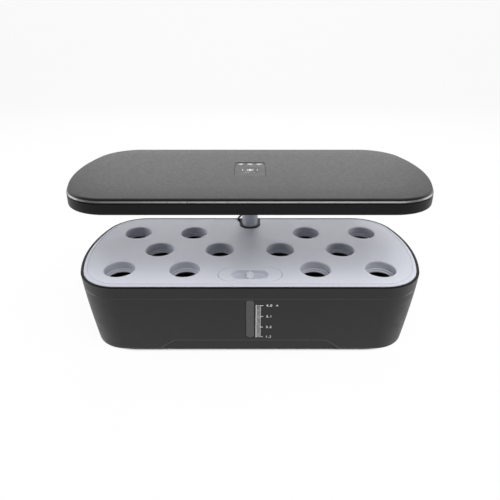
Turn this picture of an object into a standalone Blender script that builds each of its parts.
"""Countertop hydroponic garden: a tank with a twelve-hole planting deck, and a lamp hood on a telescopic pole.

The frame: +X right, +Y back, +Z up, metres. The origin is on the table under the middle of the tank.
"""
import math

import bmesh
import bpy

MM = 0.001

# Clearances and round steps
SEAT_GAP = 0.3 * MM
OVERRUN = 2 * MM
MERGE_DISTANCE = 0.01 * MM
ROUND_STEPS = 24
HOLE_STEPS = 18
SMALL_STEPS = 10
END_STEPS = 6
CORNER_STEPS = 6
CORD_RESOLUTION = 2
CORD_SAMPLES = 12
KNOB_STEPS = 3

# Plan outline shared by the tank's rim and the hood: straight front and back, bowed ends
RIM_WIDTH = 395 * MM
RIM_DEPTH = 185 * MM
END_RADIUS = 190 * MM
CORNER_RADIUS = 48.5 * MM

# Tank
FOOT_HEIGHT = 1.5 * MM
TANK_HEIGHT = 87.6 * MM
TANK_TAPER = 10 * MM
TAPER_POWER = 1.3
TANK_WALL = 2.4 * MM
TANK_FLOOR = 3 * MM
FLOOR_FILLET = 3 * MM
BASE_ROUND = 2.2 * MM
RIM_LIP = 2.8 * MM
RIM_ROUND = 0.7 * MM
LEDGE_DROP = 5.2 * MM
LEDGE_WIDTH = 1.4 * MM
SEAM_DROP = 13.8 * MM
SEAM_HEIGHT = 0.8 * MM
SEAM_DEPTH = 0.5 * MM
SEAM_SLOPE = 0.2 * MM
WALL_LEVEL_SHARES = (0.12, 0.3, 0.5, 0.7, 0.86)
INNER_LEVEL_SHARES = (0.34, 0.5, 0.7, 0.86)

# Finger recess under the tank's front
RECESS_TOP_HALF = 87 * MM
RECESS_BASE_HALF = 102 * MM
RECESS_HEIGHT = 13.8 * MM
RECESS_DEPTH = 1.1 * MM

# Feet
FOOT_RADIUS = 8 * MM
FOOT_END_INSET = 57.5 * MM
FOOT_SIDE_INSET = 40.5 * MM
FOOT_X = RIM_WIDTH / 2 - FOOT_END_INSET
FOOT_Y = RIM_DEPTH / 2 - FOOT_SIDE_INSET
FOOT_SINK = 1.1 * MM
FOOT_CHAMFER = 0.8 * MM

# Gauge window in the front wall
WINDOW_WIDTH = 9.1 * MM
WINDOW_CORNER = 2.8 * MM
WINDOW_TOP_DROP = 16.1 * MM
WINDOW_LENGTH = 53 * MM
WINDOW_THICKNESS = 2 * MM
WINDOW_SINK = 0.2 * MM
NIB_HEIGHT = 1.8 * MM
NIB_WIDTH = 2.6 * MM

# Planting deck
DECK_RISE = 0.9 * MM
DECK_EDGE_GAP = 0.4 * MM
DECK_PLATE = 2.4 * MM
DECK_SKIRT = 2.2 * MM
DECK_ROUND = 1.2 * MM
GROOVE_INSET = 7 * MM
GROOVE_WIDTH = 1 * MM
GROOVE_DEPTH = 0.5 * MM
DECK_TRAVEL = 45 * MM

# Pod holes: rows of four, the middle row set half a pitch inwards
POD_PITCH = 73 * MM
POD_ROW_PITCH = 47.8 * MM
POD_ROWS_Y = -5.9 * MM
POD_OUTER_SHARES = (-2, -1, 1, 2)
POD_MIDDLE_SHARES = (-1.5, -0.5, 0.5, 1.5)
POD_RADIUS = 17 * MM
POD_ROUND = 1.2 * MM
POD_STEP = 1.5 * MM
POD_FIRST_DROP = 9 * MM
POD_SECOND_DROP = 10.9 * MM
POD_DEPTH = 12.2 * MM
POD_WALL = 2.2 * MM

# Water inlet and its lid
LID_FRONT_INSET = 26.9 * MM
LID_Y = LID_FRONT_INSET - RIM_DEPTH / 2
LID_LENGTH = 69.8 * MM
LID_WIDTH = 28.4 * MM
LID_THICKNESS = 6.4 * MM
LID_SPIGOT = 3.5 * MM
LID_SPIGOT_GAP = 1 * MM
LID_SPIGOT_WALL = 1.6 * MM
LID_LEDGE = 2.6 * MM
LID_SEAT_WALL = 3 * MM
LID_SEAT_FLOOR = 2.4 * MM
FINGER_LENGTH = 40.8 * MM
FINGER_WIDTH = 18.6 * MM
FINGER_DEPTH = 5 * MM
PINCH_WIDTH = 8 * MM
PINCH_LENGTH = 12.6 * MM
PINCH_CORNER = 2 * MM
PINCH_WEB = 2 * MM
PINCH_SINK = 0.4 * MM
LID_TRAVEL = 20 * MM

# Telescopic pole
POLE_BACK_INSET = 24.2 * MM
POLE_Y = RIM_DEPTH / 2 - POLE_BACK_INSET
OUTER_RADIUS = 10.5 * MM
OUTER_WALL = 1.2 * MM
MIDDLE_RADIUS = 7.9 * MM
MIDDLE_WALL = 1 * MM
INNER_RADIUS = 5.6 * MM
INNER_WALL = 1 * MM
POLE_FOOT = 14 * MM
POLE_STEP = 3 * MM
BUSH_HEIGHT = 10 * MM
OUTER_COLLAR_HEIGHT = 12 * MM
MIDDLE_COLLAR_HEIGHT = 9 * MM
COLLAR_LIP = 1.7 * MM
COLLAR_WALL = 1.2 * MM
TUBE_TRAVEL = 125 * MM

# Pole socket, a column in the tank with a U-shaped head in the deck
SOCKET_RADIUS = 13.4 * MM
SOCKET_RISE = 0.6 * MM
NOTCH_GAP = 0.4 * MM
FLARE_BACK_INSET = 15.5 * MM
FLARE_START_Y = RIM_DEPTH / 2 - FLARE_BACK_INSET
FLARE_HALF = 21 * MM

# Hood
HOOD_HEIGHT = 171.5 * MM
HOOD_GROWTH = 0.5 * MM
TRAY_HEIGHT = 11 * MM
TRAY_WALL = 2 * MM
TRAY_FLOOR = 2 * MM
TRAY_ROUND = 1.4 * MM
TRAY_TOP_ROUND = 0.9 * MM
COVER_BEAD = 1.4 * MM
COVER_BEAD_HEIGHT = 2.8 * MM
COVER_SIDE = 1.5 * MM
COVER_ROUND = 1.2 * MM
COVER_ROUND_SHARE = 0.3
COVER_SHOULDER = 9 * MM
COVER_DOME = 1 * MM
COVER_DOME_INSET = 34 * MM
COVER_WALL = 2.2 * MM
COVER_PLATE = 2.6 * MM

# Lamp under the hood
LAMP_END_INSET = 32.5 * MM
LAMP_FRONT_INSET = 17.5 * MM
LAMP_BACK_INSET = 45.5 * MM
LAMP_WIDTH = RIM_WIDTH - 2 * LAMP_END_INSET
LAMP_DEPTH = RIM_DEPTH - LAMP_FRONT_INSET - LAMP_BACK_INSET
LAMP_Y = (LAMP_FRONT_INSET - LAMP_BACK_INSET) / 2
LAMP_CORNER = 16 * MM
LAMP_STEP = 2 * MM
LAMP_SEAT = 1.2 * MM
LAMP_LEDGE = 3 * MM
LAMP_LEDGE_HEIGHT = 2.2 * MM
DIFFUSER_THICKNESS = 1.5 * MM
BOARD_THICKNESS = 1.6 * MM
LED_SIZE = 3 * MM
LED_HEIGHT = 0.7 * MM
LED_COLUMNS = 10
LED_ROWS = 4
LED_FIELD_SHARE = 0.9

# Touch panel in the hood's top
PANEL_WIDTH = 34.6 * MM
PANEL_DEPTH = 52 * MM
PANEL_Y = 1 * MM
PANEL_CORNER = 3 * MM
PANEL_THICKNESS = 1.2 * MM
PANEL_SINK = 0.1 * MM
TOUCH_BOARD_MARGIN = 2 * MM

# Control board, power inlet and pole receiver in the hood
CONTROL_WIDTH = 62 * MM
CONTROL_DEPTH = 24 * MM
CONTROL_PLACE_SHARE = 0.54
CONTROL_BACK_INSET = 23.5 * MM
CONTROL_Y = RIM_DEPTH / 2 - CONTROL_BACK_INSET
POST_HEIGHT = 2 * MM
POST_RADIUS = 2.4 * MM
INLET_END_INSET = 81.5 * MM
INLET_X = RIM_WIDTH / 2 - INLET_END_INSET
INLET_WIDTH = 11 * MM
INLET_DEPTH = 13 * MM
INLET_HEIGHT = 8 * MM
INLET_BORE = 3.4 * MM
INLET_BORE_DEPTH = 9.5 * MM
INLET_PIN = 0.7 * MM
INLET_PIN_LENGTH = 5 * MM
INLET_FACE_SINK = 0.3 * MM
INLET_NEAR_X = INLET_X - INLET_WIDTH / 2
INLET_FAR_X = INLET_X + INLET_WIDTH / 2
RECEIVER_FLANGE = 12 * MM
RECEIVER_FLANGE_HEIGHT = 2.2 * MM
RECEIVER_RADIUS = 8.5 * MM
CONTROL_X = RECEIVER_RADIUS + CONTROL_PLACE_SHARE * (INLET_NEAR_X - RECEIVER_RADIUS)

# Hood screws, driven up through the tray's floor into bosses of the cover
SCREW_END_INSET = 20.5 * MM
SCREW_CORNER_INSET = 50.5 * MM
SCREW_INLET_GAP = 7 * MM
SCREW_SIDE_INSET = 8.5 * MM
SCREW_END_X = RIM_WIDTH / 2 - SCREW_END_INSET
SCREW_END_Y = RIM_DEPTH / 2 - SCREW_CORNER_INSET
SCREW_SIDE_X = INLET_FAR_X + SCREW_INLET_GAP
SCREW_SIDE_Y = RIM_DEPTH / 2 - SCREW_SIDE_INSET
SCREW_HEAD_RADIUS = 2.8 * MM
SCREW_HEAD = 1.1 * MM
SCREW_RADIUS = 1.3 * MM
SCREW_LENGTH = 9 * MM
BOSS_RADIUS = 3.5 * MM

# Pump on the tank's floor
PUMP_X = -52 * MM
PUMP_BACK_INSET = 38.5 * MM
PUMP_Y = RIM_DEPTH / 2 - PUMP_BACK_INSET
PUMP_WIDTH = 40 * MM
PUMP_DEPTH = 26 * MM
PUMP_HEIGHT = 29 * MM
PUMP_BEVEL = 2.5 * MM
CUP_RADIUS = 5.5 * MM
CUP_HEIGHT = 3.2 * MM
CUP_LIP = 0.8 * MM
CUP_INSET = 8 * MM
CHAMBER_RADIUS = 10 * MM
CHAMBER_DEPTH = 11 * MM
SHAFT_RADIUS = 1.2 * MM
SHAFT_SEAT = 5 * MM
SHAFT_STUB = 1.6 * MM
HUB_RADIUS = 3.6 * MM
BLADE_RADIUS = 8.8 * MM
BLADE_THICKNESS = 1.4 * MM
BLADE_END_GAP = 1.2 * MM
BLADE_SHOULDER = 0.6 * MM
BLADE_COUNT = 6
NOZZLE_RADIUS = 4 * MM
NOZZLE_BORE = 1.9 * MM
NOZZLE_HEIGHT = 9 * MM
FRAME_DEPTH = 10 * MM
FRAME_WALL = 1.6 * MM
FRAME_PLATE = 3 * MM
INTAKE_SLOTS = 5
INTAKE_SLOT_WIDTH = 1.8 * MM
INTAKE_FIELD_SHARE = 0.62
INTAKE_HEIGHT_SHARE = 0.6
SPONGE_SINK = 1 * MM
GLAND_RADIUS = 3 * MM
GLAND_LENGTH = 4 * MM
GLAND_HEIGHT = 12 * MM

# Pump lead: from the pump over the tank's floor, up beside the socket, to the hood's underside
LEAD_DIAMETER = 2.5 * MM
LEAD_STEP = 7.2 * MM
FREE_STEP = 2.4 * MM
LEAD_SPLIT_HEIGHT = 118 * MM
LEAD_PLUG_X = -13.6 * MM
PLUG_BACK_INSET = 10.5 * MM
LEAD_PLUG_Y = RIM_DEPTH / 2 - PLUG_BACK_INSET
PLUG_RADIUS = 3.2 * MM
PLUG_LENGTH = 10.5 * MM
PLUG_NECK_RADIUS = 2 * MM
PLUG_NECK = 3 * MM
PLUG_PIN_RADIUS = 1.6 * MM
PLUG_PIN = 4.5 * MM
LEAD_SOCKET_WIDTH = 8 * MM
LEAD_SOCKET_HEIGHT = 8 * MM

# Points of the lead on its way through the tank, from the pump's left side to the notch
TANK_ROUTE = (
    (-76.3, 54.0, 20.3), (-84.0, 54.0, 19.0), (-96.0, 50.0, 12.0), (-110.0, 42.0, 6.6), (-126.0, 36.0, 6.2),
    (-143.0, 29.0, 6.2), (-152.0, 14.0, 6.2), (-143.0, -2.0, 6.2), (-124.0, -4.0, 6.2), (-108.0, 8.0, 6.2),
    (-90.0, 18.0, 6.2), (-72.0, 10.0, 6.2), (-54.0, -3.0, 6.2), (-36.0, 4.0, 6.2), (-26.0, 22.0, 6.2),
    (-22.0, 44.0, 6.2), (-20.5, 62.0, 8.0), (-19.5, 73.0, 18.0), (-18.6, 79.0, 36.0), (-17.5, 83.2, 58.0),
    (-16.7, 85.4, 76.0), (-16.7, 85.4, 88.5),
)
FREE_ROUTE = (
    (-16.7, 85.4, 88.5), (-16.6, 85.3, 90.6), (-15.7, 85.0, 93.0), (-13.7, 84.2, 95.4), (-11.8, 83.4, 97.8),
    (-10.8, 82.8, 100.6), (-10.5, 82.2, 105.0), (-11.0, 81.7, 114.0), (-12.2, 81.4, 128.0), (-13.1, 81.5, 141.0),
    (-13.5, 81.8, 151.0), (-13.6, 82.0, 158.0),
)

# Colours, roughness and metallic value
BLACK = (0.022, 0.022, 0.024)
DARK = (0.045, 0.045, 0.05)
DECK_GREY = (0.52, 0.53, 0.57)
TUBE_GREY = (0.4, 0.4, 0.43)
WINDOW_GREY = (0.16, 0.17, 0.18)
RUBBER_BLACK = (0.03, 0.03, 0.03)
WHITE = (0.85, 0.85, 0.83)
BOARD_GREEN = (0.03, 0.18, 0.09)
LED_YELLOW = (0.85, 0.72, 0.3)
SPONGE_GREY = (0.2, 0.2, 0.22)
BRASS_GREY = (0.45, 0.43, 0.38)

# Heights worked out from the sizes above
BASE_Z = FOOT_HEIGHT
RIM_Z = BASE_Z + TANK_HEIGHT
DECK_Z = RIM_Z + DECK_RISE
FLOOR_Z = BASE_Z + TANK_FLOOR
LEDGE_Z = RIM_Z - LEDGE_DROP
DECK_FOOT_Z = LEDGE_Z + SEAT_GAP
TRAY_TOP_Z = HOOD_HEIGHT + TRAY_HEIGHT
COVER_Z = TRAY_TOP_Z + SEAT_GAP
COVER_EDGE_Z = COVER_Z + COVER_BEAD_HEIGHT + COVER_SIDE + COVER_ROUND
COVER_TOP_Z = COVER_EDGE_Z + COVER_DOME
COVER_UNDER_Z = COVER_EDGE_Z - COVER_PLATE
TRAY_FLOOR_Z = HOOD_HEIGHT + TRAY_FLOOR
BOARD_Z = TRAY_FLOOR_Z + LAMP_LEDGE_HEIGHT + SEAT_GAP
PUMP_BASE_Z = FLOOR_Z + CUP_HEIGHT + 2 * SEAT_GAP
PUMP_FRONT_Y = PUMP_Y - PUMP_DEPTH / 2
PUMP_AXIS_Z = PUMP_BASE_Z + PUMP_HEIGHT / 2
MIDDLE_COLLAR_TOP_Z = HOOD_HEIGHT - SEAT_GAP
OUTER_COLLAR_TOP_Z = MIDDLE_COLLAR_TOP_Z - MIDDLE_COLLAR_HEIGHT - SEAT_GAP
PLUG_TOP_Z = HOOD_HEIGHT - SEAT_GAP


def make_collection(name, hidden=False):
    """A collection of the scene; the cutters' one isn't drawn."""
    collection = bpy.data.collections.new(name)
    bpy.context.scene.collection.children.link(collection)
    collection.hide_render = hidden
    return collection


def make_material(name, colour, roughness, metallic=0.0, alpha=1.0):
    """A plain Principled material."""
    material = bpy.data.materials.new(name)
    material.use_nodes = True
    shader = material.node_tree.nodes["Principled BSDF"]
    shader.inputs["Base Color"].default_value = (*colour, 1.0)
    shader.inputs["Roughness"].default_value = roughness
    shader.inputs["Metallic"].default_value = metallic
    shader.inputs["Alpha"].default_value = alpha
    material.diffuse_color = (*colour, alpha)
    return material


def place(name, mesh, look, location=(0, 0, 0)):
    """A named object of the part, with its own copy of a look."""
    piece = bpy.data.objects.new(name, mesh)
    PARTS.objects.link(piece)
    if look is not None:
        colour, roughness, metallic = look
        mesh.materials.clear()
        mesh.materials.append(make_material(name, colour, roughness, metallic))
    piece.location = location
    return piece


def as_cutter(piece):
    """Moves a shape to the cutters, where it is drawn as wires and never rendered."""
    PARTS.objects.unlink(piece)
    CUTTERS.objects.link(piece)
    piece.hide_render = True
    piece.display_type = "WIRE"
    return piece


def boolean(piece, other, operation):
    """Adds an exact Boolean with another shape, which becomes a cutter."""
    as_cutter(other)
    modifier = piece.modifiers.new(other.name, "BOOLEAN")
    modifier.operation = operation
    modifier.object = other
    modifier.solver = "EXACT"


def cut(piece, *others):
    """Takes the other shapes out of the piece."""
    for other in others:
        boolean(piece, other, "DIFFERENCE")


def join(piece, *others):
    """Fuses the other shapes with the piece."""
    for other in others:
        boolean(piece, other, "UNION")


def mesh_from(bm, name):
    """Closes a bmesh into mesh data with its faces pointing out, round parts smooth."""
    bmesh.ops.recalc_face_normals(bm, faces=bm.faces)
    mesh = bpy.data.meshes.new(name)
    bm.to_mesh(mesh)
    bm.free()
    mesh.shade_smooth()
    mesh.set_sharp_from_angle(angle=math.radians(35))
    return mesh


def skin(name, rings, look, location=(0, 0, 0)):
    """A closed body through rings of points, each ring at its own height: the cap is extruded from ring to ring."""
    bm = bmesh.new()
    first_points, first_z = rings[0]
    cap = bm.faces.new([bm.verts.new((x, y, first_z)) for x, y in first_points])
    keep_cap = True
    for points, z in rings[1:]:
        extruded = bmesh.ops.extrude_face_region(bm, geom=[cap])["geom"]
        new_cap = next(item for item in extruded if isinstance(item, bmesh.types.BMFace))
        if not keep_cap:
            bm.faces.remove(cap)
        keep_cap = False
        cap = new_cap
        for vertex, (x, y) in zip(cap.verts, points):
            vertex.co = (x, y, z)
    return place(name, mesh_from(bm, name), look, location)


def prism(name, points, bottom, top, look, location=(0, 0, 0)):
    """An upright prism on an outline: a filled 2D curve, extruded and made a closed mesh."""
    data = bpy.data.curves.new(name, "CURVE")
    data.dimensions = "2D"
    data.fill_mode = "BOTH"
    data.extrude = (top - bottom) / 2
    spline = data.splines.new("POLY")
    spline.points.add(len(points) - 1)
    for target, (x, y) in zip(spline.points, points):
        target.co = (x, y, 0, 1)
    spline.use_cyclic_u = True
    bm = closed_curve(name, data)
    bmesh.ops.translate(bm, vec=(0, 0, (bottom + top) / 2), verts=bm.verts)
    return place(name, mesh_from(bm, name), look, location)


def closed_curve(name, data):
    """The surface of a curve as a bmesh, its caps welded on; the curve itself goes."""
    curve = bpy.data.objects.new(name + "_curve", data)
    PARTS.objects.link(curve)
    bm = bmesh.new()
    bm.from_mesh(evaluated_mesh(curve))
    bmesh.ops.remove_doubles(bm, verts=bm.verts, dist=MERGE_DISTANCE)
    bpy.data.objects.remove(curve)
    return bm


def evaluated_mesh(piece):
    """The mesh of an object with its modifiers applied."""
    bpy.context.view_layer.update()
    graph = bpy.context.evaluated_depsgraph_get()
    return bpy.data.meshes.new_from_object(piece.evaluated_get(graph))


def box(name, size, centre, look, bevel=0.0):
    """A box of a size round a centre, its edges rounded if a bevel is given."""
    bm = bmesh.new()
    bmesh.ops.create_cube(bm, size=1)
    bmesh.ops.scale(bm, vec=size, verts=bm.verts)
    piece = place(name, mesh_from(bm, name), look, centre)
    if bevel:
        rounding = piece.modifiers.new("rounding", "BEVEL")
        rounding.width = bevel
        rounding.segments = 2
        rounding.limit_method = "ANGLE"
    return piece


def turned(name, profile, look, location=(0, 0, 0), steps=ROUND_STEPS, ring=False):
    """A turned body: (radius, height) points down the outer side, screwed round the upright axis."""
    mesh = bpy.data.meshes.new(name)
    points = [(radius, 0, height) for radius, height in profile]
    edges = [(k, k + 1) for k in range(len(points) - 1)]
    if ring:
        edges.append((len(points) - 1, 0))
    mesh.from_pydata(points, edges, [])
    piece = place(name, mesh, look, location)
    turn = piece.modifiers.new("turn", "SCREW")
    turn.steps = steps
    turn.render_steps = steps
    turn.use_merge_vertices = True
    turn.merge_threshold = MERGE_DISTANCE
    turn.use_smooth_shade = True
    return piece


def rod(name, radius, bottom, top, look, location=(0, 0, 0), steps=ROUND_STEPS):
    """A plain round rod."""
    bm = bmesh.new()
    bmesh.ops.create_cone(bm, cap_ends=True, segments=steps, radius1=radius, radius2=radius, depth=top - bottom)
    bmesh.ops.translate(bm, vec=(0, 0, (bottom + top) / 2), verts=bm.verts)
    return place(name, mesh_from(bm, name), look, location)


def tube(name, radius, bore, bottom, top, look, location=(0, 0, 0), steps=ROUND_STEPS):
    """A plain round tube."""
    profile = [(radius, top), (radius, bottom), (bore, bottom), (bore, top)]
    return turned(name, profile, look, location, steps, ring=True)


def arc(centre_x, centre_y, radius, start, end, steps):
    """Points of an arc, both ends included."""
    points = []
    for k in range(steps + 1):
        angle = start + (end - start) * k / steps
        points.append((centre_x + radius * math.cos(angle), centre_y + radius * math.sin(angle)))
    return points


def mirrored(points):
    """Points of a right half, followed by their mirror image on the left."""
    return points + [(-x, y) for x, y in reversed(points)]


def body_outline(inset, growth=0.0):
    """The shared plan outline, offset inwards evenly. Growth widens its depth, as on the hood."""
    half_width = RIM_WIDTH / 2 - inset
    half_depth = RIM_DEPTH / 2 + growth - inset
    end_radius = END_RADIUS - inset
    corner_radius = CORNER_RADIUS - inset
    end_x = half_width - end_radius
    corner_y = half_depth - corner_radius
    corner_x = end_x + math.sqrt((end_radius - corner_radius) ** 2 - corner_y ** 2)
    turn = math.atan2(corner_y, corner_x - end_x)
    lower = arc(corner_x, -corner_y, corner_radius, -math.pi / 2, -turn, CORNER_STEPS)
    end = arc(end_x, 0, end_radius, -turn, turn, END_STEPS)
    upper = arc(corner_x, corner_y, corner_radius, turn, math.pi / 2, CORNER_STEPS)
    return mirrored(lower + end[1:-1] + upper)


def stadium(length, width, centre_y=0.0, steps=CORNER_STEPS):
    """A stadium outline along X."""
    radius = width / 2
    return mirrored(arc(length / 2 - radius, centre_y, radius, -math.pi / 2, math.pi / 2, 2 * steps))


def rounded_rectangle(width, depth, corner, centre_x=0.0, centre_y=0.0, steps=4):
    """A rectangle with round corners."""
    x = width / 2 - corner
    y = depth / 2 - corner
    half = arc(x, -y, corner, -math.pi / 2, 0, steps) + arc(x, y, corner, 0, math.pi / 2, steps)
    return [(centre_x + px, centre_y + py) for px, py in mirrored(half)]


def wall_inset(z):
    """How far the tank's outer wall has drawn in at a height: upright at the rim, more and more below."""
    share = max(0.0, (RIM_Z - z) / TANK_HEIGHT)
    return TANK_TAPER * share ** TAPER_POWER


def inner_inset(z):
    """The inner face of the tank's wall."""
    return max(RIM_LIP + LEDGE_WIDTH, wall_inset(z) + TANK_WALL)


def height_at(share):
    """A height by its share of the way down from the rim."""
    return RIM_Z - share * TANK_HEIGHT


def seam_rings():
    """The styling seam under the rim: a shallow groove round the wall."""
    z = RIM_Z - SEAM_DROP
    deep = wall_inset(z) + SEAM_DEPTH
    lower = z - SEAM_HEIGHT / 2
    upper = z + SEAM_HEIGHT / 2
    return [
        (body_outline(wall_inset(lower)), lower),
        (body_outline(deep), lower + SEAM_SLOPE),
        (body_outline(deep), upper - SEAM_SLOPE),
        (body_outline(wall_inset(upper)), upper),
    ]


def build_tank_shell():
    """The tub: outer wall up to the rim, a ledge for the deck inside it, then down to the floor."""
    outer = [(body_outline(TANK_TAPER + BASE_ROUND), BASE_Z)]
    outer.append((body_outline(wall_inset(BASE_Z + BASE_ROUND)), BASE_Z + BASE_ROUND))
    outer += [(body_outline(wall_inset(height_at(share))), height_at(share)) for share in reversed(WALL_LEVEL_SHARES)
              if height_at(share) < RIM_Z - SEAM_DROP - SEAM_HEIGHT]
    outer += seam_rings()
    outer.append((body_outline(0), RIM_Z - RIM_ROUND))
    rim = [(body_outline(RIM_ROUND), RIM_Z), (body_outline(RIM_LIP - RIM_ROUND), RIM_Z)]
    rim.append((body_outline(RIM_LIP), RIM_Z - RIM_ROUND))
    rim.append((body_outline(RIM_LIP), LEDGE_Z))
    rim.append((body_outline(RIM_LIP + LEDGE_WIDTH), LEDGE_Z))
    inner = [(body_outline(inner_inset(height_at(share))), height_at(share)) for share in INNER_LEVEL_SHARES]
    fillet_z = FLOOR_Z + FLOOR_FILLET
    inner.append((body_outline(inner_inset(fillet_z)), fillet_z))
    inner.append((body_outline(inner_inset(fillet_z) + FLOOR_FILLET), FLOOR_Z))
    shell = skin("tank_shell", outer + rim + inner, (BLACK, 0.42, 0.0))
    cut(shell, window_shape("window_slot", SEAT_GAP, TANK_WALL * 3), recess_cutter())
    for k, (x, y) in enumerate(foot_places()):
        top = BASE_Z + FOOT_SINK + SEAT_GAP
        radius = FOOT_RADIUS + SEAT_GAP
        cut(shell, rod(f"foot_pocket_{k + 1}", radius, BASE_Z - OVERRUN, top, None, (x, y, 0), HOLE_STEPS))
    return shell


def window_outline(grow):
    """The window's own outline in its plane: a tall rounded rectangle with a small nib at its foot."""
    radius = WINDOW_CORNER + grow
    across = WINDOW_WIDTH / 2 - WINDOW_CORNER
    reach = WINDOW_LENGTH / 2 - WINDOW_CORNER
    top = arc(across, reach, radius, 0, math.pi / 2, CORNER_STEPS)
    top += arc(-across, reach, radius, math.pi / 2, math.pi, CORNER_STEPS)
    left = arc(-across, -reach, radius, math.pi, 1.5 * math.pi, CORNER_STEPS)
    right = arc(across, -reach, radius, 1.5 * math.pi, 2 * math.pi, CORNER_STEPS)
    foot = -reach - radius
    nib = [(-NIB_WIDTH / 2, foot), (0, foot - NIB_HEIGHT), (NIB_WIDTH / 2, foot)]
    return top + left + nib + right


def window_shape(name, grow, thickness, look=None, sink=0.0):
    """A slab of the window's outline, leaning with the front wall; the slot starts outside the wall."""
    top_z = RIM_Z - WINDOW_TOP_DROP
    foot_z = top_z - WINDOW_LENGTH
    top_y = -RIM_DEPTH / 2 + wall_inset(top_z)
    foot_y = -RIM_DEPTH / 2 + wall_inset(foot_z)
    lean = math.atan2(foot_y - top_y, WINDOW_LENGTH)
    front = sink if look else -OVERRUN
    slab = prism(name, window_outline(grow), -front - thickness, -front, look)
    slab.location = (0, (top_y + foot_y) / 2, (top_z + foot_z) / 2)
    slab.rotation_euler = (math.pi / 2 + lean, 0, 0)
    return slab


def recess_cutter():
    """The shallow arch along the foot of the front wall: a wedge as deep as the recess, following the lean."""
    top_z = BASE_Z + RECESS_HEIGHT
    front = -RIM_DEPTH / 2
    base = [(-RECESS_BASE_HALF, front - OVERRUN), (RECESS_BASE_HALF, front - OVERRUN),
            (RECESS_BASE_HALF, front + TANK_TAPER + RECESS_DEPTH),
            (-RECESS_BASE_HALF, front + TANK_TAPER + RECESS_DEPTH)]
    top = [(-RECESS_TOP_HALF, front - OVERRUN), (RECESS_TOP_HALF, front - OVERRUN),
           (RECESS_TOP_HALF, front + wall_inset(top_z) + RECESS_DEPTH),
           (-RECESS_TOP_HALF, front + wall_inset(top_z) + RECESS_DEPTH)]
    return skin("recess_cutter", [(base, BASE_Z), (top, top_z)], None)


def foot_places():
    """Centres of the four feet."""
    return [(x, y) for x in (-FOOT_X, FOOT_X) for y in (-FOOT_Y, FOOT_Y)]


def build_feet():
    """Rubber feet, each half sunk in its pocket."""
    for k, (x, y) in enumerate(foot_places()):
        top = BASE_Z + FOOT_SINK
        profile = [(0, top), (FOOT_RADIUS, top), (FOOT_RADIUS, FOOT_CHAMFER)]
        profile += [(FOOT_RADIUS - FOOT_CHAMFER, 0), (0, 0)]
        turned(f"foot_{k + 1}", profile, (RUBBER_BLACK, 0.9, 0.0), (x, y, 0), HOLE_STEPS)


def build_window():
    """The clear strip that shows the water's level."""
    return window_shape("gauge_window", 0.0, WINDOW_THICKNESS, (WINDOW_GREY, 0.25, 0.0), WINDOW_SINK)


def pod_places():
    """Centres of the twelve pod holes."""
    places = []
    for row, shares in ((-1, POD_OUTER_SHARES), (0, POD_MIDDLE_SHARES), (1, POD_OUTER_SHARES)):
        places += [(share * POD_PITCH, POD_ROWS_Y + row * POD_ROW_PITCH) for share in shares]
    return places


def deck_plate():
    """The plate with its rounded rim, hairline groove and the skirt that stands on the tank's ledge."""
    edge = RIM_LIP + DECK_EDGE_GAP
    inside = edge + DECK_SKIRT
    groove_floor = DECK_Z - GROOVE_DEPTH
    rings = [
        (body_outline(inside), DECK_Z - DECK_PLATE),
        (body_outline(inside), DECK_FOOT_Z),
        (body_outline(edge), DECK_FOOT_Z),
        (body_outline(edge), DECK_Z - DECK_ROUND),
        (body_outline(edge + DECK_ROUND), DECK_Z),
        (body_outline(GROOVE_INSET), DECK_Z),
        (body_outline(GROOVE_INSET), groove_floor),
        (body_outline(GROOVE_INSET + GROOVE_WIDTH), groove_floor),
        (body_outline(GROOVE_INSET + GROOVE_WIDTH), DECK_Z),
    ]
    return skin("deck", rings, (DECK_GREY, 0.5, 0.0))


def pod_cup(name):
    """The outside of one pod's cup, under the plate."""
    top = DECK_Z - DECK_PLATE / 2
    return rod(name, POD_RADIUS + POD_WALL, DECK_Z - POD_DEPTH, top, None, steps=HOLE_STEPS)


def pod_bore(name):
    """The stepped bore of one pod: a rounded mouth, then two ledges."""
    profile = [
        (0, DECK_Z + OVERRUN),
        (POD_RADIUS + POD_ROUND + OVERRUN, DECK_Z + OVERRUN),
        (POD_RADIUS, DECK_Z - POD_ROUND),
        (POD_RADIUS, DECK_Z - POD_FIRST_DROP),
        (POD_RADIUS - POD_STEP, DECK_Z - POD_FIRST_DROP),
        (POD_RADIUS - POD_STEP, DECK_Z - POD_SECOND_DROP),
        (POD_RADIUS - 2 * POD_STEP, DECK_Z - POD_SECOND_DROP),
        (POD_RADIUS - 2 * POD_STEP, DECK_Z - POD_DEPTH - OVERRUN),
        (0, DECK_Z - POD_DEPTH - OVERRUN),
    ]
    return turned(name, profile, None, steps=HOLE_STEPS)


def repeat_over_pods(deck, first, operation):
    """Uses one shape at all the pod holes: copies share its mesh, and one Boolean takes the whole collection."""
    group = bpy.data.collections.new(first.name + "_group")
    CUTTERS.children.link(group)
    PARTS.objects.unlink(first)
    for k, (x, y) in enumerate(pod_places()):
        shape = first if k == 0 else first.copy()
        group.objects.link(shape)
        shape.location = (x, y, 0)
        shape.hide_render = True
        shape.display_type = "WIRE"
    modifier = deck.modifiers.new(group.name, "BOOLEAN")
    modifier.operation = operation
    modifier.operand_type = "COLLECTION"
    modifier.collection = group
    modifier.solver = "EXACT"


def notch_outline():
    """The deck's notch round the pole's socket, flared on the left where the pump's lead comes up."""
    radius = SOCKET_RADIUS + NOTCH_GAP
    back = RIM_DEPTH / 2
    front = arc(0, POLE_Y, radius, math.pi, 2 * math.pi, 2 * CORNER_STEPS)
    flare = [(-FLARE_HALF, back), (-FLARE_HALF, back - RIM_LIP), (-radius, FLARE_START_Y)]
    return front + [(radius, back)] + flare


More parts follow.
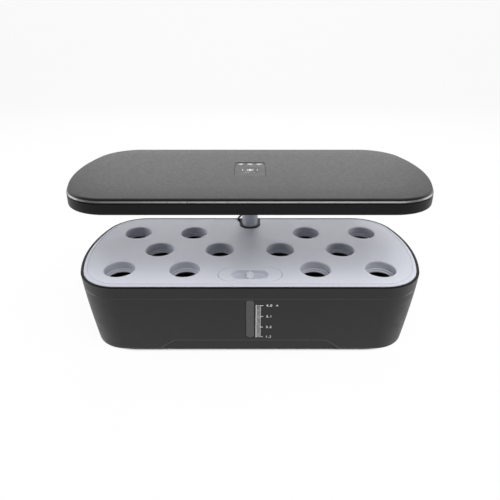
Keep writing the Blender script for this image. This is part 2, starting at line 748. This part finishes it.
def build_deck():
    """The planting deck: plate, cups, inlet seat, then all its openings."""
    deck = deck_plate()
    repeat_over_pods(deck, pod_cup("pod_cup"), "UNION")
    seat_floor = DECK_Z - LID_THICKNESS - SEAT_GAP
    pocket_length = LID_LENGTH + 2 * SEAT_GAP
    pocket_width = LID_WIDTH + 2 * SEAT_GAP
    wall = 2 * LID_SEAT_WALL
    seat = prism("lid_seat", stadium(pocket_length + wall, pocket_width + wall, LID_Y),
                 seat_floor - LID_SEAT_FLOOR, DECK_Z - DECK_PLATE / 2, None)
    join(deck, seat)
    repeat_over_pods(deck, pod_bore("pod_bore"), "DIFFERENCE")
    ledge = 2 * LID_LEDGE
    pocket = prism("lid_pocket", stadium(pocket_length, pocket_width, LID_Y), seat_floor, DECK_Z + OVERRUN, None)
    neck = prism("inlet_neck", stadium(LID_LENGTH - ledge, LID_WIDTH - ledge, LID_Y),
                 seat_floor - LID_SEAT_FLOOR - OVERRUN, DECK_Z, None)
    notch = prism("pole_notch", notch_outline(), DECK_FOOT_Z - OVERRUN, DECK_Z + OVERRUN, None)
    cut(deck, pocket, neck, notch)
    return deck


def build_lid():
    """The inlet lid: a finger recess on top, crossed by a bar to pinch, and a spigot into the neck."""
    bottom = DECK_Z - LID_THICKNESS
    lid = prism("inlet_lid", stadium(LID_LENGTH, LID_WIDTH, LID_Y), bottom, DECK_Z, (DECK_GREY, 0.5, 0.0))
    inset = 2 * (LID_LEDGE + LID_SPIGOT_GAP)
    spigot = stadium(LID_LENGTH - inset, LID_WIDTH - inset, LID_Y)
    join(lid, prism("lid_spigot", spigot, bottom - LID_SPIGOT, bottom + FINGER_DEPTH / 4, None))
    hollow = inset + 2 * LID_SPIGOT_WALL
    spigot_hollow = stadium(LID_LENGTH - hollow, LID_WIDTH - hollow, LID_Y)
    cut(lid, prism("spigot_hollow", spigot_hollow, bottom - LID_SPIGOT - OVERRUN, bottom, None))
    finger = stadium(FINGER_LENGTH, FINGER_WIDTH, LID_Y)
    cut(lid, prism("finger_recess", finger, DECK_Z - FINGER_DEPTH, DECK_Z + OVERRUN, None))
    bar_top = DECK_Z - PINCH_SINK
    knob = rounded_rectangle(PINCH_WIDTH, PINCH_LENGTH, PINCH_CORNER, 0, LID_Y, KNOB_STEPS)
    join(lid, prism("pinch_knob", knob, bar_top - FINGER_DEPTH, bar_top, None))
    web_size = (PINCH_WEB, FINGER_WIDTH + PINCH_WEB, FINGER_DEPTH)
    join(lid, box("pinch_web", web_size, (0, LID_Y, bar_top - PINCH_SINK - FINGER_DEPTH / 2), None))
    return lid


def socket_back(z):
    """The socket's back face follows the tank's wall at each height."""
    if z > LEDGE_Z:
        return RIM_DEPTH / 2 - RIM_LIP - SEAT_GAP
    return RIM_DEPTH / 2 - inner_inset(z) - SEAT_GAP


def socket_outline(back):
    """A U in plan: round in front, flat along the tank's back wall."""
    front = arc(0, POLE_Y, SOCKET_RADIUS, math.pi, 2 * math.pi, 2 * CORNER_STEPS)
    return front + [(SOCKET_RADIUS, back), (-SOCKET_RADIUS, back)]


def build_pole_socket():
    """The column that holds the pole, from the tank's floor to just above the deck."""
    foot = FLOOR_Z + SEAT_GAP
    fillet_z = FLOOR_Z + FLOOR_FILLET
    rings = [(socket_outline(socket_back(foot) - FLOOR_FILLET), foot)]
    rings.append((socket_outline(socket_back(fillet_z)), fillet_z))
    for share in reversed(INNER_LEVEL_SHARES):
        z = height_at(share)
        rings.append((socket_outline(socket_back(z)), z))
    rings.append((socket_outline(socket_back(LEDGE_Z)), LEDGE_Z + SEAT_GAP))
    rings.append((socket_outline(socket_back(RIM_Z)), LEDGE_Z + SEAT_GAP + LEDGE_WIDTH))
    rings.append((socket_outline(socket_back(RIM_Z)), DECK_Z + SOCKET_RISE))
    socket = skin("pole_socket", rings, (BLACK, 0.45, 0.0))
    bore = rod("socket_bore", OUTER_RADIUS + SEAT_GAP, POLE_FOOT - SEAT_GAP, DECK_Z + SOCKET_RISE + OVERRUN, None,
               (0, POLE_Y, 0))
    cut(socket, bore)
    return socket


def collar(name, radius, next_radius, top, height):
    """A cap on a tube's end, with a lip that guides the next tube."""
    lip_z = top - COLLAR_LIP
    outside = radius + SEAT_GAP + COLLAR_WALL
    profile = [
        (outside, top), (outside, top - height), (radius + SEAT_GAP, top - height),
        (radius + SEAT_GAP, lip_z), (next_radius + SEAT_GAP, lip_z), (next_radius + SEAT_GAP, top),
    ]
    return turned(name, profile, (BLACK, 0.5, 0.0), (0, POLE_Y, 0), ring=True)


def build_pole():
    """Three tubes, each with a bush or a collar that guides the next one."""
    centre = (0, POLE_Y, 0)
    steel = (TUBE_GREY, 0.35, 0.6)
    middle_foot = POLE_FOOT + POLE_STEP
    inner_foot = middle_foot + POLE_STEP
    outer_top = OUTER_COLLAR_TOP_Z - COLLAR_LIP - SEAT_GAP
    middle_top = MIDDLE_COLLAR_TOP_Z - COLLAR_LIP - SEAT_GAP
    inner_top = COVER_UNDER_Z - SEAT_GAP
    middle_bush_outer = OUTER_RADIUS - OUTER_WALL - SEAT_GAP
    inner_bush_outer = MIDDLE_RADIUS - MIDDLE_WALL - SEAT_GAP
    tube("outer_tube", OUTER_RADIUS, OUTER_RADIUS - OUTER_WALL, POLE_FOOT, outer_top, steel, centre)
    tube("middle_tube", MIDDLE_RADIUS, MIDDLE_RADIUS - MIDDLE_WALL, middle_foot, middle_top, steel, centre)
    tube("inner_tube", INNER_RADIUS, INNER_RADIUS - INNER_WALL, inner_foot, inner_top, steel, centre)
    tube("middle_bush", middle_bush_outer, MIDDLE_RADIUS + SEAT_GAP, middle_foot, middle_foot + BUSH_HEIGHT,
         (WHITE, 0.4, 0.0), centre)
    tube("inner_bush", inner_bush_outer, INNER_RADIUS + SEAT_GAP, inner_foot, inner_foot + BUSH_HEIGHT,
         (WHITE, 0.4, 0.0), centre)
    collar("outer_collar", OUTER_RADIUS, MIDDLE_RADIUS, OUTER_COLLAR_TOP_Z, OUTER_COLLAR_HEIGHT)
    collar("middle_collar", MIDDLE_RADIUS, INNER_RADIUS, MIDDLE_COLLAR_TOP_Z, MIDDLE_COLLAR_HEIGHT)


def hood_screw_places():
    """Centres of the eight screws that hold tray and cover together."""
    ends = [(x, y) for x in (-SCREW_END_X, SCREW_END_X) for y in (-SCREW_END_Y, SCREW_END_Y)]
    sides = [(x, y) for x in (-SCREW_SIDE_X, SCREW_SIDE_X) for y in (-SCREW_SIDE_Y, SCREW_SIDE_Y)]
    return ends + sides


def hood_outline(inset):
    """The hood follows the rim's outline, a little deeper."""
    return body_outline(inset, HOOD_GROWTH)


def lamp_outline(grow):
    """The lamp's window and what follows it."""
    return rounded_rectangle(LAMP_WIDTH + 2 * grow, LAMP_DEPTH + 2 * grow, LAMP_CORNER + grow, 0, LAMP_Y)


def build_tray():
    """The hood's lower pan: a step for the diffuser, a ledge for the lamp board, holes for pole, plug and screws."""
    rings = [
        (hood_outline(TRAY_ROUND), HOOD_HEIGHT),
        (hood_outline(0), HOOD_HEIGHT + TRAY_ROUND),
        (hood_outline(0), TRAY_TOP_Z - TRAY_TOP_ROUND),
        (hood_outline(TRAY_TOP_ROUND), TRAY_TOP_Z),
        (hood_outline(TRAY_WALL), TRAY_TOP_Z),
        (hood_outline(TRAY_WALL), TRAY_FLOOR_Z),
    ]
    tray = skin("hood_tray", rings, (BLACK, 0.45, 0.0))
    seat_z = HOOD_HEIGHT + LAMP_SEAT
    ledge_top = TRAY_FLOOR_Z + LAMP_LEDGE_HEIGHT
    join(tray, prism("lamp_ledge", lamp_outline(LAMP_LEDGE), TRAY_FLOOR_Z - TRAY_FLOOR / 2, ledge_top, None))
    for k, x in enumerate((CONTROL_X - CONTROL_WIDTH / 3, CONTROL_X + CONTROL_WIDTH / 3)):
        join(tray, rod(f"board_post_{k + 1}", POST_RADIUS, TRAY_FLOOR_Z - TRAY_FLOOR / 2, TRAY_FLOOR_Z + POST_HEIGHT,
                       None, (x, CONTROL_Y, 0), SMALL_STEPS))
    cut(tray, prism("lamp_window", lamp_outline(-LAMP_STEP), HOOD_HEIGHT - OVERRUN, ledge_top + OVERRUN, None))
    cut(tray, prism("diffuser_seat", lamp_outline(SEAT_GAP), seat_z, ledge_top + OVERRUN, None))
    cut(tray, rod("pole_hole", INNER_RADIUS + SEAT_GAP, HOOD_HEIGHT - OVERRUN, TRAY_FLOOR_Z + OVERRUN, None,
                  (0, POLE_Y, 0)))
    side = LEAD_SOCKET_WIDTH + 2 * SEAT_GAP
    cut(tray, box("lead_socket_hole", (side, side, TRAY_FLOOR + 2 * OVERRUN),
                  (LEAD_PLUG_X, LEAD_PLUG_Y, HOOD_HEIGHT + TRAY_FLOOR / 2), None))
    cut(tray, power_inlet_block("inlet_window", SEAT_GAP, OVERRUN, None))
    for k, (x, y) in enumerate(hood_screw_places()):
        head = HOOD_HEIGHT + SCREW_HEAD + SEAT_GAP
        profile = [
            (0, TRAY_FLOOR_Z + OVERRUN), (SCREW_RADIUS + SEAT_GAP, TRAY_FLOOR_Z + OVERRUN),
            (SCREW_RADIUS + SEAT_GAP, head), (SCREW_HEAD_RADIUS + SEAT_GAP, head),
            (SCREW_HEAD_RADIUS + SEAT_GAP, HOOD_HEIGHT - OVERRUN), (0, HOOD_HEIGHT - OVERRUN),
        ]
        cut(tray, turned(f"tray_screw_hole_{k + 1}", profile, None, (x, y, 0), SMALL_STEPS))
    return tray


def build_cover():
    """The hood's top: a slightly domed plate with a rounded edge and a bead, and bosses for the screws."""
    side_z = COVER_Z + COVER_BEAD_HEIGHT
    turn_z = side_z + COVER_SIDE
    inner = COVER_BEAD + COVER_WALL
    rings = [
        (hood_outline(inner), COVER_UNDER_Z),
        (hood_outline(inner), COVER_Z),
        (hood_outline(COVER_BEAD), COVER_Z),
        (hood_outline(0), COVER_Z + COVER_BEAD_HEIGHT / 2),
        (hood_outline(COVER_BEAD), side_z),
        (hood_outline(COVER_BEAD), turn_z),
        (hood_outline(COVER_BEAD + COVER_ROUND * COVER_ROUND_SHARE), turn_z + COVER_ROUND * (1 - COVER_ROUND_SHARE)),
        (hood_outline(COVER_BEAD + COVER_ROUND), COVER_EDGE_Z),
        (hood_outline(COVER_SHOULDER), COVER_EDGE_Z + COVER_DOME / 2),
        (hood_outline(COVER_DOME_INSET), COVER_TOP_Z),
    ]
    cover = skin("hood_cover", rings, (DARK, 0.6, 0.0))
    boss_foot = TRAY_FLOOR_Z + SEAT_GAP
    pilot_top = HOOD_HEIGHT + SCREW_HEAD + SCREW_LENGTH + 2 * SEAT_GAP
    for k, (x, y) in enumerate(hood_screw_places()):
        boss_top = COVER_UNDER_Z + COVER_PLATE / 2
        join(cover, rod(f"boss_{k + 1}", BOSS_RADIUS, boss_foot, boss_top, None, (x, y, 0), SMALL_STEPS))
    for k, (x, y) in enumerate(hood_screw_places()):
        cut(cover, rod(f"pilot_{k + 1}", SCREW_RADIUS + SEAT_GAP, boss_foot - OVERRUN, pilot_top, None, (x, y, 0),
                       SMALL_STEPS))
    pocket_floor = COVER_TOP_Z - PANEL_SINK - PANEL_THICKNESS - SEAT_GAP
    pocket = panel_outline(PANEL_WIDTH + 2 * SEAT_GAP, PANEL_DEPTH + 2 * SEAT_GAP, PANEL_CORNER + SEAT_GAP)
    cut(cover, prism("panel_pocket", pocket, pocket_floor, COVER_TOP_Z + OVERRUN, None))
    return cover


def panel_outline(width, depth, corner):
    """The touch panel's outline and what follows it."""
    return rounded_rectangle(width, depth, corner, 0, PANEL_Y, 3)


def build_hood_inside():
    """What the hood holds: diffuser, lamp board with its LEDs, touch panel and board, control board, receiver."""
    panel_top = COVER_TOP_Z - PANEL_SINK
    prism("touch_panel", panel_outline(PANEL_WIDTH, PANEL_DEPTH, PANEL_CORNER), panel_top - PANEL_THICKNESS,
          panel_top, (DARK, 0.5, 0.0))
    touch_top = COVER_UNDER_Z - SEAT_GAP
    margin = 2 * TOUCH_BOARD_MARGIN
    box("touch_board", (PANEL_WIDTH - margin, PANEL_DEPTH - margin, BOARD_THICKNESS),
        (0, PANEL_Y, touch_top - BOARD_THICKNESS / 2), (BOARD_GREEN, 0.5, 0.0))
    diffuser_z = HOOD_HEIGHT + LAMP_SEAT + SEAT_GAP
    prism("diffuser", lamp_outline(0), diffuser_z, diffuser_z + DIFFUSER_THICKNESS, (WHITE, 0.3, 0.0))
    build_lamp_board()
    post_z = TRAY_FLOOR_Z + POST_HEIGHT + SEAT_GAP
    box("control_board", (CONTROL_WIDTH, CONTROL_DEPTH, BOARD_THICKNESS),
        (CONTROL_X, CONTROL_Y, post_z + BOARD_THICKNESS / 2), (BOARD_GREEN, 0.5, 0.0))
    foot = TRAY_FLOOR_Z + SEAT_GAP
    flange_top = foot + RECEIVER_FLANGE_HEIGHT
    top = COVER_UNDER_Z - SEAT_GAP
    bore = INNER_RADIUS + SEAT_GAP
    profile = [(RECEIVER_RADIUS, top), (RECEIVER_RADIUS, flange_top), (RECEIVER_FLANGE, flange_top),
               (RECEIVER_FLANGE, foot), (bore, foot), (bore, top)]
    turned("pole_receiver", profile, (BLACK, 0.5, 0.0), (0, POLE_Y, 0), ring=True)


def build_lamp_board():
    """The lamp's board with its LED chips, in even rows on its underside."""
    board = prism("lamp_board", lamp_outline(LAMP_LEDGE / 2), BOARD_Z, BOARD_Z + BOARD_THICKNESS, (WHITE, 0.4, 0.0))
    bm = bmesh.new()
    width = LAMP_WIDTH * LED_FIELD_SHARE
    depth = LAMP_DEPTH * LED_FIELD_SHARE
    for column in range(LED_COLUMNS):
        for row in range(LED_ROWS):
            x = width * ((column + 0.5) / LED_COLUMNS - 0.5)
            y = LAMP_Y + depth * ((row + 0.5) / LED_ROWS - 0.5)
            chip = bmesh.ops.create_cube(bm, size=1)["verts"]
            bmesh.ops.scale(bm, vec=(LED_SIZE, LED_SIZE, 2 * LED_HEIGHT), verts=chip)
            bmesh.ops.translate(bm, vec=(x, y, BOARD_Z), verts=chip)
    join(board, place("led_chips", mesh_from(bm, "led_chips"), None))


def power_inlet_block(name, grow, front_overrun, look):
    """The power inlet's housing in the hood's back wall, or the hole for it."""
    back = RIM_DEPTH / 2 + HOOD_GROWTH - INLET_FACE_SINK + front_overrun
    front = RIM_DEPTH / 2 + HOOD_GROWTH - INLET_FACE_SINK - INLET_DEPTH
    foot = TRAY_FLOOR_Z + SEAT_GAP
    size = (INLET_WIDTH + 2 * grow, back - front, INLET_HEIGHT + (grow if look is None else 0))
    return box(name, size, (INLET_X, (back + front) / 2, foot + size[2] / 2), look)


def build_power_inlet():
    """A round power jack: a housing with a bore from the back, and the contact pin in it."""
    inlet = power_inlet_block("power_inlet", 0.0, 0.0, (BLACK, 0.4, 0.0))
    face = RIM_DEPTH / 2 + HOOD_GROWTH - INLET_FACE_SINK
    height = TRAY_FLOOR_Z + SEAT_GAP + INLET_HEIGHT / 2
    floor = face - INLET_BORE_DEPTH
    bore = rod("inlet_bore", INLET_BORE, -OVERRUN, INLET_BORE_DEPTH, None, (INLET_X, face, height), SMALL_STEPS)
    bore.rotation_euler = (math.pi / 2, 0, 0)
    cut(inlet, bore)
    root = (INLET_DEPTH - INLET_BORE_DEPTH) / 2
    pin = rod("inlet_pin", INLET_PIN, -root, INLET_PIN_LENGTH, None, (INLET_X, floor, height), SMALL_STEPS)
    pin.rotation_euler = (-math.pi / 2, 0, 0)
    join(inlet, pin)
    return inlet


def build_screws():
    """The hood's eight screws, their heads sunk in the tray."""
    head_bottom = HOOD_HEIGHT + SEAT_GAP
    head_top = HOOD_HEIGHT + SCREW_HEAD
    profile = [(0, head_top + SCREW_LENGTH), (SCREW_RADIUS, head_top + SCREW_LENGTH), (SCREW_RADIUS, head_top),
               (SCREW_HEAD_RADIUS, head_top), (SCREW_HEAD_RADIUS, head_bottom), (0, head_bottom)]
    for k, (x, y) in enumerate(hood_screw_places()):
        turned(f"hood_screw_{k + 1}", profile, (BRASS_GREY, 0.35, 0.9), (x, y, 0), SMALL_STEPS)


def build_pump_body():
    """The pump's housing: a block on four suction cups, with the impeller's chamber in front."""
    centre = (PUMP_X, PUMP_Y, PUMP_AXIS_Z)
    body = box("pump_body", (PUMP_WIDTH, PUMP_DEPTH, PUMP_HEIGHT), centre, (BLACK, 0.5, 0.0), PUMP_BEVEL)
    top = PUMP_BASE_Z + PUMP_HEIGHT
    nozzle_y = PUMP_FRONT_Y + CHAMBER_DEPTH / 2
    join(body, rod("pump_nozzle", NOZZLE_RADIUS, top - PUMP_BEVEL, top + NOZZLE_HEIGHT, None,
                   (PUMP_X, nozzle_y, 0), SMALL_STEPS))
    gland = rod("pump_gland", GLAND_RADIUS, -GLAND_LENGTH, PUMP_BEVEL, None,
                (PUMP_X - PUMP_WIDTH / 2, PUMP_Y, PUMP_BASE_Z + GLAND_HEIGHT), SMALL_STEPS)
    gland.rotation_euler = (0, math.pi / 2, 0)
    join(body, gland)
    front = (PUMP_X, PUMP_FRONT_Y, PUMP_AXIS_Z)
    for name, radius, depth, steps in (("chamber", CHAMBER_RADIUS, CHAMBER_DEPTH, HOLE_STEPS),
                                       ("shaft_seat", SHAFT_RADIUS + SEAT_GAP, CHAMBER_DEPTH + SHAFT_SEAT,
                                        SMALL_STEPS)):
        hole = rod(name, radius, -depth, OVERRUN, None, front, steps)
        hole.rotation_euler = (math.pi / 2, 0, 0)
        cut(body, hole)
    cut(body, rod("nozzle_bore", NOZZLE_BORE, PUMP_AXIS_Z, top + NOZZLE_HEIGHT + OVERRUN, None,
                  (PUMP_X, nozzle_y, 0), SMALL_STEPS))
    return body


def build_filter_frame():
    """The pump's front frame: an intake plate against the housing and a rim that holds the sponge."""
    back = PUMP_FRONT_Y - SEAT_GAP
    centre = (PUMP_X, back - FRAME_DEPTH / 2, PUMP_AXIS_Z)
    frame = box("filter_frame", (PUMP_WIDTH, FRAME_DEPTH, PUMP_HEIGHT), centre, (BLACK, 0.5, 0.0))
    depth = FRAME_DEPTH - FRAME_PLATE
    wall = 2 * FRAME_WALL
    pocket = box("sponge_pocket", (PUMP_WIDTH - wall, depth + OVERRUN, PUMP_HEIGHT - wall),
                 (PUMP_X, back - FRAME_PLATE - (depth + OVERRUN) / 2, PUMP_AXIS_Z), None)
    cut(frame, pocket)
    field = PUMP_WIDTH * INTAKE_FIELD_SHARE
    for k in range(INTAKE_SLOTS):
        x = PUMP_X + field * (k / (INTAKE_SLOTS - 1) - 0.5)
        if k == INTAKE_SLOTS // 2:
            continue
        slot = box(f"intake_slot_{k + 1}", (INTAKE_SLOT_WIDTH, FRAME_DEPTH, PUMP_HEIGHT * INTAKE_HEIGHT_SHARE),
                   (x, back - FRAME_PLATE / 2, PUMP_AXIS_Z), None)
        cut(frame, slot)
    bearing = rod("front_bearing", SHAFT_RADIUS + SEAT_GAP, -SHAFT_STUB - SEAT_GAP, OVERRUN, None,
                  (PUMP_X, back, PUMP_AXIS_Z), SMALL_STEPS)
    bearing.rotation_euler = (-math.pi / 2, 0, 0)
    cut(frame, bearing)
    return frame


def build_sponge():
    """The filter sponge in its frame."""
    front = PUMP_FRONT_Y - SEAT_GAP - FRAME_DEPTH + SPONGE_SINK
    back = PUMP_FRONT_Y - FRAME_PLATE - 2 * SEAT_GAP
    inset = 2 * (FRAME_WALL + SEAT_GAP)
    box("filter_sponge", (PUMP_WIDTH - inset, back - front, PUMP_HEIGHT - inset),
        (PUMP_X, (front + back) / 2, PUMP_AXIS_Z), (SPONGE_GREY, 0.95, 0.0))


def build_suction_cups():
    """Four rubber cups under the pump."""
    foot = FLOOR_Z + SEAT_GAP
    top = foot + CUP_HEIGHT
    profile = [(0, top), (CUP_RADIUS / 2, top), (CUP_RADIUS, foot + CUP_LIP), (CUP_RADIUS, foot), (0, foot)]
    x = PUMP_WIDTH / 2 - CUP_INSET
    y = PUMP_DEPTH / 2 - CUP_INSET + CUP_LIP
    places = [(PUMP_X + sx * x, PUMP_Y + sy * y) for sx in (-1, 1) for sy in (-1, 1)]
    for k, (x, y) in enumerate(places):
        turned(f"suction_cup_{k + 1}", profile, (RUBBER_BLACK, 0.9, 0.0), (x, y, 0), SMALL_STEPS)


def blade_outline():
    """The impeller's blades in plan: a star with square tips, whose roots lie inside the hub."""
    points = []
    root = HUB_RADIUS - BLADE_SHOULDER
    for k in range(BLADE_COUNT):
        turn = 2 * math.pi * k / BLADE_COUNT
        half_pitch = math.pi / BLADE_COUNT
        for along, across in ((BLADE_RADIUS, -BLADE_THICKNESS / 2), (BLADE_RADIUS, BLADE_THICKNESS / 2)):
            x = along * math.cos(turn) - across * math.sin(turn)
            points.append((x, along * math.sin(turn) + across * math.cos(turn)))
        points.append((root * math.cos(turn + half_pitch), root * math.sin(turn + half_pitch)))
    return points


def build_impeller():
    """The impeller, modelled along its own axis and laid along Y."""
    length = CHAMBER_DEPTH - 2 * BLADE_END_GAP
    start = BLADE_END_GAP
    profile = [
        (0, CHAMBER_DEPTH + SHAFT_SEAT - SEAT_GAP), (SHAFT_RADIUS, CHAMBER_DEPTH + SHAFT_SEAT - SEAT_GAP),
        (SHAFT_RADIUS, start + length), (HUB_RADIUS, start + length), (HUB_RADIUS, start),
        (SHAFT_RADIUS, start), (SHAFT_RADIUS, -SHAFT_STUB), (0, -SHAFT_STUB),
    ]
    impeller = turned("impeller", profile, (WHITE, 0.4, 0.0), steps=SMALL_STEPS)
    blades = prism("impeller_blades", blade_outline(), start + BLADE_SHOULDER, start + length - BLADE_SHOULDER, None)
    join(impeller, blades)
    blades.parent = impeller
    impeller.rotation_euler = (-math.pi / 2, 0, 0)
    impeller.location = (PUMP_X, PUMP_FRONT_Y, PUMP_AXIS_Z)
    return impeller


def smooth_route(route, step):
    """Points at an even step along a smooth curve through a route's points, ends included."""
    points = [tuple(value * MM for value in point) for point in route]
    padded = [points[0]] + points + [points[-1]]
    dense = []
    for a, b, c, d in zip(padded, padded[1:], padded[2:], padded[3:]):
        for k in range(CORD_SAMPLES):
            t = k / CORD_SAMPLES
            dense.append(tuple(catmull(p, q, r, s, t) for p, q, r, s in zip(a, b, c, d)))
    dense.append(points[-1])
    lengths = [0.0]
    for start, end in zip(dense, dense[1:]):
        lengths.append(lengths[-1] + math.dist(start, end))
    count = max(2, round(lengths[-1] / step))
    even = []
    k = 0
    for n in range(count + 1):
        target = lengths[-1] * n / count
        while k < len(lengths) - 2 and lengths[k + 1] < target:
            k += 1
        share = (target - lengths[k]) / (lengths[k + 1] - lengths[k])
        even.append(tuple(a + (b - a) * share for a, b in zip(dense[k], dense[k + 1])))
    return even


def catmull(p, q, r, s, t):
    """One coordinate of a Catmull-Rom curve between q and r."""
    return 0.5 * (2 * q + (r - p) * t + (2 * p - 5 * q + 4 * r - s) * t ** 2 + (3 * q - p - 3 * r + s) * t ** 3)


def cord(name, points, look):
    """A round cord through points, made a closed mesh."""
    data = bpy.data.curves.new(name, "CURVE")
    data.dimensions = "3D"
    data.bevel_depth = LEAD_DIAMETER / 2
    data.bevel_resolution = CORD_RESOLUTION
    data.use_fill_caps = True
    spline = data.splines.new("POLY")
    spline.points.add(len(points) - 1)
    for target, point in zip(spline.points, points):
        target.co = (*point, 1)
    return place(name, mesh_from(closed_curve(name, data), name), look)


def between(points, low, high):
    """The stretch of an upward route between two heights, cut square at both."""
    stretch = [point for point in points if low + LEAD_DIAMETER < point[2] < high - LEAD_DIAMETER]
    return [point_at(points, low)] + stretch + [point_at(points, high)]


def point_at(points, z):
    """The point of an upward route at a height."""
    for start, end in zip(points, points[1:]):
        if start[2] <= z <= end[2]:
            share = (z - start[2]) / (end[2] - start[2])
            return tuple(a + (b - a) * share for a, b in zip(start, end))
    return points[0] if z < points[0][2] else points[-1]


def build_lead():
    """The pump's lead in three stretches, so that each can follow the tube that it hangs beside, and its plug."""
    look = (RUBBER_BLACK, 0.6, 0.0)
    cord("pump_lead_tank", smooth_route(TANK_ROUTE, LEAD_STEP), look)
    free = smooth_route(FREE_ROUTE, FREE_STEP)
    plug_foot = PLUG_TOP_Z - PLUG_LENGTH - PLUG_NECK
    low = free[0][2] + SEAT_GAP
    cord("pump_lead_lower", between(free, low, LEAD_SPLIT_HEIGHT - SEAT_GAP / 2), look)
    cord("pump_lead_upper", between(free, LEAD_SPLIT_HEIGHT + SEAT_GAP / 2, plug_foot - SEAT_GAP), look)
    profile = [
        (0, PLUG_TOP_Z + PLUG_PIN), (PLUG_PIN_RADIUS, PLUG_TOP_Z + PLUG_PIN), (PLUG_PIN_RADIUS, PLUG_TOP_Z),
        (PLUG_RADIUS, PLUG_TOP_Z), (PLUG_RADIUS, PLUG_TOP_Z - PLUG_LENGTH),
        (PLUG_NECK_RADIUS, PLUG_TOP_Z - PLUG_LENGTH), (PLUG_NECK_RADIUS, plug_foot), (0, plug_foot),
    ]
    turned("lead_plug", profile, (BLACK, 0.5, 0.0), (LEAD_PLUG_X, LEAD_PLUG_Y, 0), SMALL_STEPS)
    side = LEAD_SOCKET_WIDTH
    socket_z = HOOD_HEIGHT + LEAD_SOCKET_HEIGHT / 2
    socket = box("lead_socket", (side, side, LEAD_SOCKET_HEIGHT), (LEAD_PLUG_X, LEAD_PLUG_Y, socket_z),
                 (BLACK, 0.4, 0.0))
    cut(socket, rod("plug_bore", PLUG_PIN_RADIUS + SEAT_GAP, HOOD_HEIGHT - OVERRUN, PLUG_TOP_Z + PLUG_PIN + SEAT_GAP,
                    None, (LEAD_PLUG_X, LEAD_PLUG_Y, 0), SMALL_STEPS))


def joint_empty(name, location, nodes):
    """An empty on a joint's axis that carries the pieces of one moving body."""
    empty = bpy.data.objects.new(name, None)
    empty.empty_display_size = POLE_STEP
    PARTS.objects.link(empty)
    empty.location = location
    bpy.context.view_layer.update()
    for node in nodes:
        piece = bpy.data.objects[node]
        piece.parent = empty
        piece.matrix_parent_inverse = empty.matrix_world.inverted()
    return empty


def build_bodies():
    """The moving bodies, each under an empty on its joint's axis."""
    pole = (0, POLE_Y, HOOD_HEIGHT)
    hood_nodes = ["inner_tube", "inner_bush", "hood_tray", "hood_cover", "touch_panel", "touch_board", "diffuser",
                  "lamp_board", "control_board", "pole_receiver", "power_inlet", "lead_socket", "lead_plug"]
    hood_nodes += [f"hood_screw_{k + 1}" for k in range(len(hood_screw_places()))]
    hood = joint_empty("hood_slide", pole, hood_nodes)
    middle = joint_empty("middle_slide", pole, ["middle_tube", "middle_bush", "middle_collar", "pump_lead_upper"])
    hood.parent = middle
    hood.matrix_parent_inverse = middle.matrix_world.inverted()
    deck = joint_empty("deck_slide", (0, 0, DECK_Z), ["deck"])
    lid = joint_empty("lid_slide", (0, LID_Y, DECK_Z), ["inlet_lid"])
    lid.parent = deck
    lid.matrix_parent_inverse = deck.matrix_world.inverted()
    joint_empty("impeller_axis", (PUMP_X, PUMP_FRONT_Y, PUMP_AXIS_Z), ["impeller"])


def main():
    """Builds the whole garden."""
    build_tank_shell()
    build_feet()
    build_window()
    build_deck()
    build_lid()
    build_pole_socket()
    build_pole()
    build_tray()
    build_cover()
    build_hood_inside()
    build_power_inlet()
    build_screws()
    build_pump_body()
    build_filter_frame()
    build_sponge()
    build_suction_cups()
    build_impeller()
    build_lead()
    build_bodies()


for old in list(bpy.data.objects):
    bpy.data.objects.remove(old)
PARTS = make_collection("hydroponic_garden")
CUTTERS = make_collection("cutters", hidden=True)
main()
